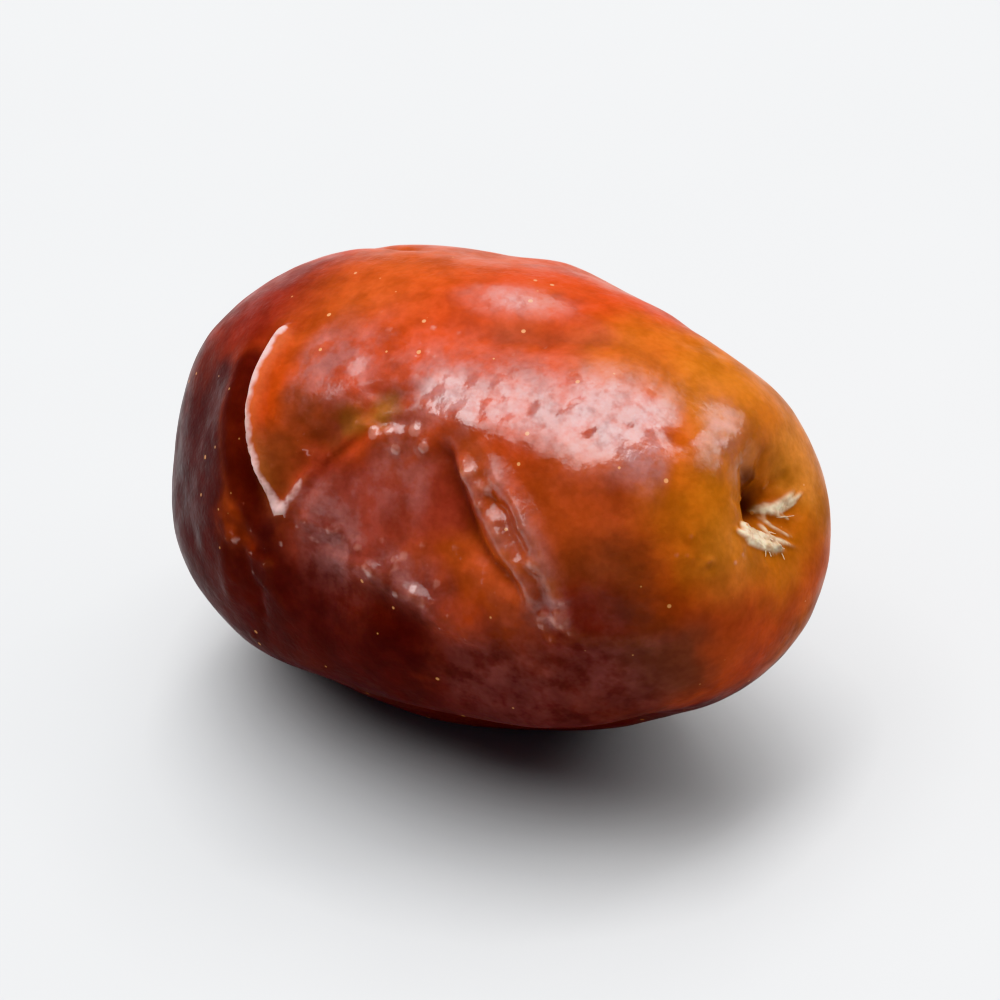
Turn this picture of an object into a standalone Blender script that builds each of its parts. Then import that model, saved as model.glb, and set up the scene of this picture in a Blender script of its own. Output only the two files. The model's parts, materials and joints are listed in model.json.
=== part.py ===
from math import cos, exp, pi, radians, sin

import bmesh
import bpy
from mathutils import Matrix, Vector

# Sizes in metres. The fruit's length runs along X, with the blossom end at +X.
MM = 0.001
FRUIT_LENGTH = 25.7 * MM
FRUIT_THICKNESS = 17.7 * MM
WIDEST_PLACE = -0.4 * MM
STALK_HALF_FULLNESS = 2.3
BLOSSOM_HALF_FULLNESS = 1.5
END_BLUNTNESS = 3.2
BLOSSOM_END_RISE = radians(11.0)
REST_SPOT_DEPTH = 0.30 * MM
FACET_EDGE_SOFTNESS = 0.28 * MM

MERIDIANS = 72
RINGS = 44

SKIN_COLOR = (0.42, 0.085, 0.028, 1.0)
SKIN_ROUGHNESS = 0.34


def clear_scene():
    for old in list(bpy.data.objects):
        bpy.data.objects.remove(old, do_unlink=True)


def skin_material():
    skin = bpy.data.materials.new("fruit_skin")
    skin.use_nodes = True
    shader = skin.node_tree.nodes["Principled BSDF"]
    shader.inputs["Base Color"].default_value = SKIN_COLOR
    shader.inputs["Roughness"].default_value = SKIN_ROUGHNESS
    shader.inputs["Coat Weight"].default_value = 0.4
    return skin


def across(around):
    """Unit direction out from the long axis. 0 degrees is up, 90 is the -Y side."""
    turn = radians(around)
    return Vector((0.0, -sin(turn), cos(turn)))


def half_thickness(x):
    """Distance from the long axis to the plump, unwrinkled skin at x."""
    if x < WIDEST_PLACE:
        share = (WIDEST_PLACE - x) / (FRUIT_LENGTH / 2 + WIDEST_PLACE)
        fullness = STALK_HALF_FULLNESS
    else:
        share = (x - WIDEST_PLACE) / (FRUIT_LENGTH / 2 - WIDEST_PLACE)
        fullness = BLOSSOM_HALF_FULLNESS
    left = max(0.0, 1.0 - min(share, 1.0) ** fullness)
    return FRUIT_THICKNESS / 2 * left ** (1 / END_BLUNTNESS)


def on_skin(x, around):
    """Place on the plump skin at x and at an angle around the long axis."""
    return Vector((x, 0.0, 0.0)) + across(around) * half_thickness(x)


def plump_fruit():
    """A ball with its poles on the long axis, drawn out to the fruit's profile."""
    fruit = bmesh.new()
    bmesh.ops.create_uvsphere(fruit, u_segments=MERIDIANS, v_segments=RINGS, radius=1.0)
    bmesh.ops.rotate(fruit, verts=fruit.verts, matrix=Matrix.Rotation(pi / 2, 3, "Y"))
    for point in fruit.verts:
        spread = Vector((0.0, point.co.y, point.co.z))
        share = min(1.0, spread.length)
        stalk_side = point.co.x < 0
        fullness = STALK_HALF_FULLNESS if stalk_side else BLOSSOM_HALF_FULLNESS
        reach = FRUIT_LENGTH / 2 + (WIDEST_PLACE if stalk_side else -WIDEST_PLACE)
        along = max(0.0, 1.0 - share**END_BLUNTNESS) ** (1 / fullness) * reach
        x = WIDEST_PLACE + (-along if stalk_side else along)
        point.co = Vector((x, 0.0, 0.0)) + spread * (FRUIT_THICKNESS / 2)
    fruit.normal_update()
    return fruit


def dent(fruit, place, size, depth):
    """Sinks the skin round a place, deepest at the middle. A negative depth swells it."""
    fruit.normal_update()
    for point in fruit.verts:
        away = (point.co - place).length / size
        if away < 2.6:
            point.co -= point.normal * (depth * exp(-away * away))


def nearest_on_line(place, stops):
    """Distance from a place to a line through stops, and how far along it lies."""
    best = None
    for step, (start, end) in enumerate(zip(stops, stops[1:])):
        run = end - start
        share = max(0.0, min(1.0, (place - start).dot(run) / run.length_squared))
        gap = (place - start - run * share).length
        if best is None or gap < best[0]:
            best = (gap, (step + share) / (len(stops) - 1))
    return best


def furrow(fruit, stops, width, depth):
    """Sinks a furrow along a line on the skin, fading out at both ends."""
    fruit.normal_update()
    for point in fruit.verts:
        gap, along = nearest_on_line(point.co, stops)
        if gap < 2.6 * width:
            fade = sin(pi * min(1.0, max(0.0, 0.12 + 0.76 * along))) ** 0.6
            point.co -= point.normal * (depth * fade * exp(-((gap / width) ** 2)))


def flatten(fruit, x, around, depth, reach):
    """Presses a flat facet into the skin, as where one fruit dried against another."""
    place = on_skin(x, around)
    slope = (half_thickness(x + 0.4 * MM) - half_thickness(x - 0.4 * MM)) / (0.8 * MM)
    outward = (across(around) - Vector((slope, 0.0, 0.0))).normalized()
    for point in fruit.verts:
        over = (point.co - place).dot(outward) + depth
        away = (point.co - place).length / reach
        if over > -FACET_EDGE_SOFTNESS and away < 1.0:
            if over < FACET_EDGE_SOFTNESS:
                over = (over + FACET_EDGE_SOFTNESS) ** 2 / (4 * FACET_EDGE_SOFTNESS)
            point.co -= outward * (over * min(1.0, 3.0 * (1.0 - away)))


def puckers(fruit, x_end, centre, count, reach, depth):
    """Short folds running out from a centre at one end of the fruit."""
    for number in range(count):
        turn = 2 * pi * number / count + 0.3
        ray = Vector((0.0, cos(turn), sin(turn)))
        inner = centre + ray * (0.3 * reach)
        outer = centre + ray * reach
        inner.x = outer.x = x_end
        furrow(fruit, [inner, outer], 0.5 * MM, depth)


def skin_line(*stops):
    """A line on the plump skin, through stops in millimetres along it and degrees around it."""
    return [on_skin(x * MM, around) for x, around in stops]


def wither(fruit):
    """Facets, dents, ridges and furrows of the dried fruit."""
    flatten(fruit, 0.8 * MM, 60, 0.6 * MM, 5.6 * MM)
    flatten(fruit, 4.8 * MM, 84, 0.6 * MM, 4.2 * MM)
    flatten(fruit, 5.0 * MM, 128, 0.7 * MM, 9.0 * MM)
    flatten(fruit, -2.0 * MM, 225, 0.6 * MM, 8.0 * MM)
    dent(fruit, on_skin(1.5 * MM, 58), 2.6 * MM, 0.55 * MM)
    dent(fruit, on_skin(4.0 * MM, 80), 2.2 * MM, 0.40 * MM)
    dent(fruit, on_skin(-10.5 * MM, 60), 2.4 * MM, 0.35 * MM)
    lip = skin_line((-5.5, 18), (-5.6, 33), (-5.0, 49), (-3.9, 60), (-3.3, 66))
    furrow(fruit, lip, 0.8 * MM, -0.25 * MM)
    behind_lip = skin_line((-6.7, 20), (-6.8, 36), (-6.1, 52), (-4.9, 64))
    furrow(fruit, behind_lip, 1.0 * MM, 0.25 * MM)
    brow = skin_line((-3.0, 64), (-2.0, 52), (-0.7, 43), (0.6, 37), (1.7, 35))
    furrow(fruit, brow, 0.8 * MM, 0.28 * MM)
    wall = skin_line((2.7, 41), (3.9, 50), (4.9, 61), (6.4, 71.5), (7.2, 79))
    furrow(fruit, wall, 0.9 * MM, 0.30 * MM)
    beyond_wall = skin_line((4.2, 42), (5.9, 52), (7.1, 63), (8.0, 77), (8.1, 88))
    furrow(fruit, beyond_wall, 0.9 * MM, -0.22 * MM)
    low_ridge = skin_line((8.2, 87), (9.4, 88.5), (10.8, 91.5), (12.0, 95))
    furrow(fruit, low_ridge, 0.9 * MM, -0.15 * MM)
    top_groove = skin_line((-0.8, 12), (1.8, 7.5), (3.6, 3.5), (5.8, -3.5), (8.4, -12))
    furrow(fruit, top_groove, 1.2 * MM, 0.30 * MM)


def wither_far_side(fruit):
    """The side turned away: a full belly underneath, hollows, a round dent and furrows."""
    dent(fruit, on_skin(1.2 * MM, 180), 4.6 * MM, -0.50 * MM)
    dent(fruit, on_skin(-4.6 * MM, 292), 2.6 * MM, 0.65 * MM)
    dent(fruit, on_skin(6.0 * MM, 262), 2.4 * MM, 0.45 * MM)
    long_hollow = skin_line((-1.0, 316), (3.0, 306), (7.0, 302), (9.6, 300))
    furrow(fruit, long_hollow, 1.4 * MM, 0.42 * MM)
    slant = skin_line((-8.0, 262), (-3.0, 252), (2.0, 244), (6.0, 238))
    furrow(fruit, slant, 1.0 * MM, 0.32 * MM)
    short = skin_line((-7.5, 328), (-5.6, 336), (-3.0, 340))
    furrow(fruit, short, 0.9 * MM, 0.30 * MM)


def fruit_ends(fruit):
    """The pit in its shallow bowl at the blossom end, and the puckered scar at the stalk end."""
    half = FRUIT_LENGTH / 2
    bowl = Vector((half, 0.85 * MM, 2.05 * MM))
    pit = Vector((half, 0.36 * MM, 1.85 * MM))
    dent(fruit, bowl, 2.0 * MM, 0.50 * MM)
    dent(fruit, pit, 0.9 * MM, 1.10 * MM)
    puckers(fruit, half, pit, 7, 2.6 * MM, 0.14 * MM)
    scar = Vector((-half, 0.2 * MM, 0.6 * MM))
    dent(fruit, scar, 2.1 * MM, 0.60 * MM)
    dent(fruit, scar, 0.8 * MM, 0.35 * MM)
    puckers(fruit, -half, scar, 8, 3.4 * MM, 0.22 * MM)


def soften(fruit):
    """Takes the sharpness off the folds, as thick dried skin does."""
    bmesh.ops.smooth_vert(
        fruit, verts=fruit.verts, factor=0.35, use_axis_x=True, use_axis_y=True, use_axis_z=True
    )


def stand_on_rest_spot(fruit):
    """Raises the blossom end, cuts the small flat spot and centres the fruit on it."""
    bmesh.ops.rotate(fruit, verts=fruit.verts, matrix=Matrix.Rotation(-BLOSSOM_END_RISE, 3, "Y"))
    lowest = min(point.co.z for point in fruit.verts)
    floor = Vector((0.0, 0.0, lowest + REST_SPOT_DEPTH))
    everything = fruit.verts[:] + fruit.edges[:] + fruit.faces[:]
    cut = bmesh.ops.bisect_plane(
        fruit, geom=everything, dist=1e-7, plane_co=floor, plane_no=(0.0, 0.0, -1.0), clear_outer=True
    )
    rim = [part for part in cut["geom_cut"] if isinstance(part, bmesh.types.BMEdge)]
    bmesh.ops.dissolve_degenerate(fruit, dist=2e-6, edges=rim)
    rim = [edge for edge in fruit.edges if edge.is_boundary]
    bmesh.ops.edgeloop_fill(fruit, edges=rim)
    for point in fruit.verts:
        if abs(point.co.z - floor.z) < 1e-6:
            point.co.z = floor.z
    corners = [[point.co[axis] for point in fruit.verts] for axis in range(3)]
    shift = Vector((
        -(min(corners[0]) + max(corners[0])) / 2,
        -(min(corners[1]) + max(corners[1])) / 2,
        -floor.z,
    ))
    bmesh.ops.translate(fruit, verts=fruit.verts, vec=shift)


def finish(fruit, skin, parts):
    """Closes the shape into one smooth-shaded body with its own material."""
    curved = [face for face in fruit.faces if len(face.verts) <= 6]
    bmesh.ops.triangulate(fruit, faces=curved)
    bmesh.ops.recalc_face_normals(fruit, faces=fruit.faces)
    for face in fruit.faces:
        face.smooth = face.normal.z > -0.9999
    mesh = bpy.data.meshes.new("oleaster_fruit")
    fruit.to_mesh(mesh)
    fruit.free()
    body = bpy.data.objects.new("oleaster_fruit", mesh)
    body.data.materials.append(skin)
    parts.objects.link(body)
    return body


clear_scene()
parts = bpy.data.collections.new("oleaster_fruit")
bpy.context.scene.collection.children.link(parts)
fruit = plump_fruit()
wither(fruit)
wither_far_side(fruit)
fruit_ends(fruit)
soften(fruit)
stand_on_rest_spot(fruit)
finish(fruit, skin_material(), parts)
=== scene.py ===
import json
import random
from math import cos, pi, radians, sin

import bmesh
import bpy
import numpy as np
from mathutils import Matrix, Quaternion, Vector, noise

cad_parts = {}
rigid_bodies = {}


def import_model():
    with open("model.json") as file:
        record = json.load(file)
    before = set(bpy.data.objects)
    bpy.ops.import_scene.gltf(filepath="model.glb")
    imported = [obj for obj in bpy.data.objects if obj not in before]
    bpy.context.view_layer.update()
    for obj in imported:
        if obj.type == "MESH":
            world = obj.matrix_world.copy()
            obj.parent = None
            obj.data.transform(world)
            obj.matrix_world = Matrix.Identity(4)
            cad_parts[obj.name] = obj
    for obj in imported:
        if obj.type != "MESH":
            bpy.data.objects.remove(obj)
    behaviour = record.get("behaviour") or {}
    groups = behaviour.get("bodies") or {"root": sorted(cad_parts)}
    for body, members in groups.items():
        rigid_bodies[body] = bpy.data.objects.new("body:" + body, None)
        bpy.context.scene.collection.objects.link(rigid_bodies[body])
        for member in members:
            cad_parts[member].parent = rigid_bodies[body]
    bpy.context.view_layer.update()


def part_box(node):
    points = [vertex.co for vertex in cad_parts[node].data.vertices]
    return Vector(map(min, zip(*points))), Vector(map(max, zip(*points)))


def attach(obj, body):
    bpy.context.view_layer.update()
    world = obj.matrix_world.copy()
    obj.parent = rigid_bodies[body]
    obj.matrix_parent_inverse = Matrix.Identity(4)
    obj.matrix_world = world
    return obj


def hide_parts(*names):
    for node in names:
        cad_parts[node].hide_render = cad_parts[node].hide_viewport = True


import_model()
node_low, node_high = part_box("oleaster_fruit")

# Sizes are in metres. Places on the skin are given in millimetres along the fruit's
# length, from its middle, and in degrees around it: 0 is up, 90 the side with the big dent.
MM = 0.001
FRUIT_LENGTH = 25.7 * MM
FRUIT_THICKNESS = 17.7 * MM
WIDEST_PLACE = -0.4 * MM
STALK_HALF_FULLNESS = 2.3
BLOSSOM_HALF_FULLNESS = 1.5
END_BLUNTNESS = 3.2
BLOSSOM_END_RISE = radians(11.0)
REST_SPOT_DEPTH = 0.30 * MM
MERIDIANS = 96
RINGS = 62
SKIN_LEVELS = 2
LIFT_LIMIT = 1.0 * MM
SLOPE_STEP = 0.2 * MM
WRINKLE_SEED = 4
TORN_SKIN_SEED = 11
# A ray towards the skin starts this far out from it.
RAY_START = 4.0 * MM
FIBRE_RAY_START = 3.0 * MM

random.seed(WRINKLE_SEED)


def half_thickness(x):
    """Distance from the long axis to the plump, unwrinkled skin at x."""
    if x < WIDEST_PLACE:
        share = (WIDEST_PLACE - x) / (FRUIT_LENGTH / 2 + WIDEST_PLACE)
        fullness = STALK_HALF_FULLNESS
    else:
        share = (x - WIDEST_PLACE) / (FRUIT_LENGTH / 2 - WIDEST_PLACE)
        fullness = BLOSSOM_HALF_FULLNESS
    left = max(0.0, 1.0 - min(share, 1.0) ** fullness)
    return FRUIT_THICKNESS / 2 * left ** (1 / END_BLUNTNESS)


def across(around):
    """Unit direction out from the long axis."""
    turn = radians(around)
    return Vector((0.0, -sin(turn), cos(turn)))


def on_skin(x_mm, around):
    """Place on the plump skin."""
    return Vector((x_mm * MM, 0.0, 0.0)) + across(around) * half_thickness(x_mm * MM)


def outward(x_mm, around):
    """Unit direction straight out of the plump skin."""
    x = x_mm * MM
    rise = half_thickness(x + SLOPE_STEP) - half_thickness(x - SLOPE_STEP)
    slope = rise / (2 * SLOPE_STEP)
    return (across(around) - Vector((slope, 0.0, 0.0))).normalized()


# Shaping in edit mode


def start_piece():
    """Leaves edit mode and deselects all, so that the next primitive is on its own."""
    if bpy.context.object and bpy.context.object.mode != "OBJECT":
        bpy.ops.object.mode_set(mode="OBJECT")
    bpy.ops.object.select_all(action="DESELECT")


def edit_points():
    """Goes into edit mode on points, with none selected."""
    bpy.ops.object.mode_set(mode="EDIT")
    bpy.ops.mesh.select_mode(type="VERT")
    bpy.ops.mesh.select_all(action="DESELECT")


def pick(wanted):
    """Selects the points for which wanted(place) holds, and says how many there are."""
    bpy.ops.mesh.select_all(action="DESELECT")
    mesh = bmesh.from_edit_mesh(bpy.context.object.data)
    chosen = [point for point in mesh.verts if wanted(point.co)]
    for point in chosen:
        point.select_set(True)
    mesh.select_flush_mode()
    return len(chosen)


def pick_near(place, reach):
    """Selects the points within reach of a place, or else the nearest one."""
    if pick(lambda co: (co - place).length < reach) == 0:
        mesh = bmesh.from_edit_mesh(bpy.context.object.data)
        nearest = min(mesh.verts, key=lambda point: (point.co - place).length)
        nearest.select_set(True)


def push(place, move, size_mm, falloff="SMOOTH", core=0.25):
    """Moves the skin round a place, as with a thumb, less and less out to size_mm."""
    pick_near(place, core * size_mm * MM)
    bpy.ops.transform.translate(
        value=move,
        use_proportional_edit=True,
        proportional_edit_falloff=falloff,
        proportional_size=size_mm * MM,
    )


def dent(x_mm, around, size_mm, depth_mm, falloff="SMOOTH", core=0.25):
    """Presses a dent into the skin. A negative depth pulls out a swelling."""
    move = outward(x_mm, around) * (-depth_mm * MM)
    push(on_skin(x_mm, around), move, size_mm, falloff, core)


def press_flat(x_mm, around, depth_mm, reach_mm, tip=0.0, turn=0.0):
    """Presses a flat facet into the skin. tip leans it along the fruit, turn around it."""
    straight = outward(x_mm, around)
    along = Vector((1.0, 0.0, 0.0))
    side = straight.cross(along).normalized()
    facing = Matrix.Rotation(radians(tip), 3, side) @ straight
    facing = Matrix.Rotation(radians(turn), 3, along) @ facing
    middle = on_skin(x_mm, around) - straight * (depth_mm * MM)
    reach = reach_mm * MM
    if pick(lambda co: (co - middle).dot(facing) > 0 and (co - middle).length < reach):
        bpy.ops.transform.resize(
            value=(1.0, 1.0, 0.0),
            orient_matrix=facing.to_track_quat("Z", "X").to_matrix(),
            orient_type="GLOBAL",
            center_override=middle,
        )
        bpy.ops.mesh.select_more()
        bpy.ops.mesh.select_more()
        bpy.ops.mesh.vertices_smooth(factor=0.5, repeat=12)


def plump_fruit():
    """A ball whose rings are slid along the long axis to the fruit's profile."""
    start_piece()
    lying = (0.0, pi / 2, 0.0)
    bpy.ops.mesh.primitive_uv_sphere_add(
        segments=MERIDIANS, ring_count=RINGS, radius=FRUIT_THICKNESS / 2, rotation=lying
    )
    fruit = bpy.context.object
    fruit.name = "fruit_skin"
    bpy.ops.object.transform_apply(location=False, rotation=True, scale=False)
    edit_points()
    # The rings nearest the poles go first, so that no ring slides onto one still to move.
    for ring in sorted(range(RINGS + 1), key=lambda ring: -abs(ring - RINGS / 2)):
        old_x = cos(pi * ring / RINGS) * FRUIT_THICKNESS / 2
        width_share = sin(pi * ring / RINGS)
        stalk_half = old_x < 0
        fullness = STALK_HALF_FULLNESS if stalk_half else BLOSSOM_HALF_FULLNESS
        reach = FRUIT_LENGTH / 2 + (WIDEST_PLACE if stalk_half else -WIDEST_PLACE)
        slide = max(0.0, 1.0 - width_share**END_BLUNTNESS) ** (1 / fullness) * reach
        new_x = WIDEST_PLACE + (-slide if stalk_half else slide)
        pick(lambda co: abs(co.x - old_x) < 1e-6)
        bpy.ops.transform.translate(value=(new_x - old_x, 0.0, 0.0))
    return fruit


def shrink_hollows():
    """The broad flats and hollows where the fruit shrank as it dried."""
    # The big dent on the near side: a long slope from its brow, then the deep right part.
    dent(0.2, 60, 4.6, 0.50)
    dent(2.4, 55, 3.4, 0.50)
    dent(4.5, 64, 2.8, 0.60)
    dent(5.2, 80, 2.6, 0.24)
    dent(7.6, 66, 3.4, -0.16)
    # The lobe between lip and brow stands out, and the stalk shoulder behind it falls in.
    dent(-4.9, 40, 3.4, -0.22)
    dent(-10.2, 56, 4.2, 0.62)
    dent(-8.9, 34, 2.6, 0.20)
    # The side under the dent, pulled flat.
    dent(-2.2, 78, 3.4, 0.28)
    press_flat(5.0, 128, 0.70, 9.0)
    press_flat(-5.5, 118, 0.30, 6.0)
    press_flat(-2.0, 225, 0.50, 8.0)
    dent(1.2, 180, 7.0, -0.50)
    # The groove along the top and the low swelling beyond it.
    dent(3.8, 2, 2.6, 0.20)
    dent(9.0, 28, 3.2, -0.16)
    # The side turned away.
    dent(-4.6, 292, 4.2, 0.75)
    dent(6.0, 262, 3.8, 0.50)
    dent(3.4, 306, 3.0, 0.35)
    dent(7.2, 302, 2.8, 0.35)
    dent(-8.0, 250, 3.0, 0.30)
    dent(-1.0, 330, 2.6, 0.20)
    bpy.ops.mesh.select_all(action="SELECT")
    bpy.ops.mesh.vertices_smooth(factor=0.5, repeat=3)


def sink_ends():
    """The shallow bowl at the blossom end and the hollow round the scar at the stalk end."""
    push(BLOSSOM_BOWL, Vector((-0.55 * MM, 0.0, 0.0)), 3.4)
    push(BLOSSOM_BOWL, Vector((-0.55 * MM, 0.0, -0.1 * MM)), 2.2, core=0.35)
    push(STALK_SCAR, Vector((0.70 * MM, 0.0, 0.0)), 3.4)
    push(STALK_SCAR, Vector((0.45 * MM, 0.0, 0.0)), 1.8, core=0.30)


def open_pit():
    """The dark hole low in the bowl."""
    edit_points()
    middle = BLOSSOM_PIT - Vector((1.0 * MM, 0.0, 0.0))
    push(middle, Vector((-0.50 * MM, 0.0, 0.0)), 1.10, "SMOOTH", 0.2)
    push(middle, Vector((-0.65 * MM, 0.0, 0.0)), 0.70, "SMOOTH", 0.3)
    push(middle + Vector((0.0, -0.20 * MM, 0.25 * MM)), Vector((-0.35 * MM, 0.0, 0.0)), 0.50)
    bpy.ops.object.mode_set(mode="OBJECT")


BLOSSOM_BOWL = Vector((FRUIT_LENGTH / 2, 0.85 * MM, 2.05 * MM))
BLOSSOM_PIT = Vector((FRUIT_LENGTH / 2, 0.36 * MM, 1.85 * MM))
STALK_SCAR = Vector((-FRUIT_LENGTH / 2, 0.2 * MM, 0.6 * MM))


# Lines on the skin


def curve_through(stops, steps=10):
    """Points of a smooth curve through the stops."""
    stops = [np.array(stop, float) for stop in stops]
    stops = [2 * stops[0] - stops[1], *stops, 2 * stops[-1] - stops[-2]]
    curve = []
    for a, b, c, d in zip(stops, stops[1:], stops[2:], stops[3:]):
        for t in np.linspace(0.0, 1.0, steps, endpoint=False):
            bend = (2 * a - 5 * b + 4 * c - d) * t**2
            twist = (3 * b - a - 3 * c + d) * t**3
            curve.append(0.5 * (2 * b + (c - a) * t + bend + twist))
    return [*curve, stops[-2]]


MARKS = ("pale", "bead", "bloom_and_sheen", "shade", "torn", "gloss")


class Skin:
    """The skin's points, and how far each is to be lifted or sunk, in millimetres."""

    def __init__(self, fruit):
        self.fruit = fruit
        self.places = np.empty(len(fruit.data.vertices) * 3, np.float32)
        fruit.data.vertices.foreach_get("co", self.places)
        self.places = self.places.reshape(-1, 3) / MM
        self.lift = np.zeros(len(self.places))
        self.marks = {kind: np.zeros(len(self.places)) for kind in MARKS}

    def meet(self, x_mm, around):
        """The place on the skin as it is now, in millimetres."""
        facing = outward(x_mm, around)
        plump = on_skin(x_mm, around)
        found, place, _, _ = self.fruit.ray_cast(plump + facing * RAY_START, -facing)
        return np.array(place if found else plump) / MM, np.array(facing)

    def line(self, stops, width, height, edge="round", fade=0.25):
        """Raises a ridge along a line, or sinks a furrow where height is negative."""
        self.lift += height * self.band(stops, width, edge, fade)

    def band(self, stops, width, edge="round", fade=0.25):
        """How near each point is to a line on the skin: 1 on it, 0 away from it."""
        ends = [self.meet(x, around) for x, around in curve_through(stops)]
        path = np.array([place for place, _ in ends])
        facing = np.array([out for _, out in ends])
        return self.along_path(path, facing, width, edge, fade)

    def mark(self, kind, stops, width, strength, fade=0.25):
        """Paints a line on the skin for its finish to follow."""
        marked = np.minimum(1.0, strength * self.band(stops, width, "round", fade))
        self.marks[kind] = np.maximum(self.marks[kind], marked)

    def along_path(self, path, facing, width, edge="round", fade=0.25, narrowing=0.0):
        """How near each point is to a path, fading at its ends: 1 on it, 0 away from it."""
        weights = np.zeros(len(self.places))
        low, high = path.min(0) - 3.2 * width, path.max(0) + 3.2 * width
        near = np.flatnonzero(((self.places > low) & (self.places < high)).all(1))
        if not len(near):
            return weights
        gap = np.full(len(near), np.inf)
        along = np.zeros(len(near))
        side = np.zeros(len(near))
        for step, (start, end, out) in enumerate(zip(path, path[1:], facing)):
            run = end - start
            from_start = self.places[near] - start
            share = np.clip(from_start @ run / max(run @ run, 1e-12), 0.0, 1.0)
            away = from_start - share[:, None] * run
            distance = np.linalg.norm(away, axis=1)
            closer = distance < gap
            gap[closer] = distance[closer]
            along[closer] = (step + share[closer]) / (len(path) - 1)
            side[closer] = np.sign(away[closer] @ np.cross(run, out))
        ratio = gap / (width * (1.0 - narrowing * along))
        shape = {
            "round": np.exp(-(ratio**2)),
            "sharp": np.exp(-1.6 * ratio),
            "fold": 1.8 * side * ratio * np.exp(-(ratio**2)),
        }[edge]
        fade_in, fade_out = fade if isinstance(fade, tuple) else (fade, fade)
        taper = np.clip(np.minimum(along / fade_in, (1.0 - along) / fade_out), 0.0, 1.0)
        weights[near] = shape * taper * taper * (3.0 - 2.0 * taper)
        return weights

    def spot(self, x_mm, around, size, height, glint=0.0):
        """Raises a small round swelling, glossy and with a painted glint where glint says, or sinks a
        dimple.
        """
        place, _ = self.meet(x_mm, around)
        away = np.linalg.norm(self.places - place, axis=1) / size
        self.lift += height * np.exp(-(away**2))
        if glint:
            shining = (0.70 + glint) * np.exp(-((away / 1.5) ** 2))
            self.marks["bead"] = np.maximum(self.marks["bead"], shining)

    def roughen(self, size, height, stretch=(1.0, 1.0, 1.0), seed=0.0, ridged=False, zone=None):
        """Adds unevenness of a given size, all over or where zone says."""
        inside = np.arange(len(self.places)) if zone is None else np.flatnonzero(zone > 0.01)
        spots = self.places[inside] * (np.array(stretch) / size) + seed
        values = np.array([noise.noise(Vector(spot)) for spot in spots])
        if ridged:
            values = 0.5 - 2.0 * np.abs(values)
        if zone is not None:
            values *= zone[inside]
        self.lift[inside] += height * values

    def end_path(self, centre, around, near, far, bend=0.0):
        """A path on one end of the fruit, out from a centre in the direction around."""
        towards = Vector((-1.0 if centre.x > 0 else 1.0, 0.0, 0.0))
        path = []
        for share in np.linspace(0.0, 1.0, 14):
            ray = across(around + bend * share) * ((near + (far - near) * share) * MM)
            start = Vector((centre.x * 1.3, centre.y + ray.y, centre.z + ray.z))
            found, place, _, _ = self.fruit.ray_cast(start, towards)
            if found:
                path.append(np.array(place) / MM)
        return np.array(path), np.tile(-np.array(towards), (len(path), 1))

    def blossom_path(self, stops):
        """A path on the blossom end through places given sideways and upward, in millimetres."""
        path = []
        for y, z in curve_through(stops, 6):
            start = Vector((FRUIT_LENGTH * 0.6, y * MM, z * MM))
            found, place, _, _ = self.fruit.ray_cast(start, Vector((-1.0, 0.0, 0.0)))
            if found:
                path.append(np.array(place) / MM)
        return np.array(path), np.tile(np.array((1.0, 0.0, 0.0)), (len(path), 1))

    def displace(self):
        """Lifts and sinks the skin through two painted weights."""
        self.lift = np.clip(self.lift, -LIFT_LIMIT / MM, LIFT_LIMIT / MM)
        for name, share in (("raised", self.lift), ("sunken", -self.lift)):
            weights = np.clip(share * MM / LIFT_LIMIT, 0.0, 1.0)
            group = self.fruit.vertex_groups.new(name=name)
            for index in np.flatnonzero(weights > 1e-4).tolist():
                group.add([index], float(weights[index]), "REPLACE")
            modifier = self.fruit.modifiers.new(name, "DISPLACE")
            modifier.vertex_group = name
            modifier.mid_level = 0.0
            modifier.strength = LIFT_LIMIT if name == "raised" else -LIFT_LIMIT
        for name in ("raised", "sunken"):
            bpy.ops.object.modifier_apply(modifier=name)
        self.fruit.vertex_groups.clear()


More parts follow.
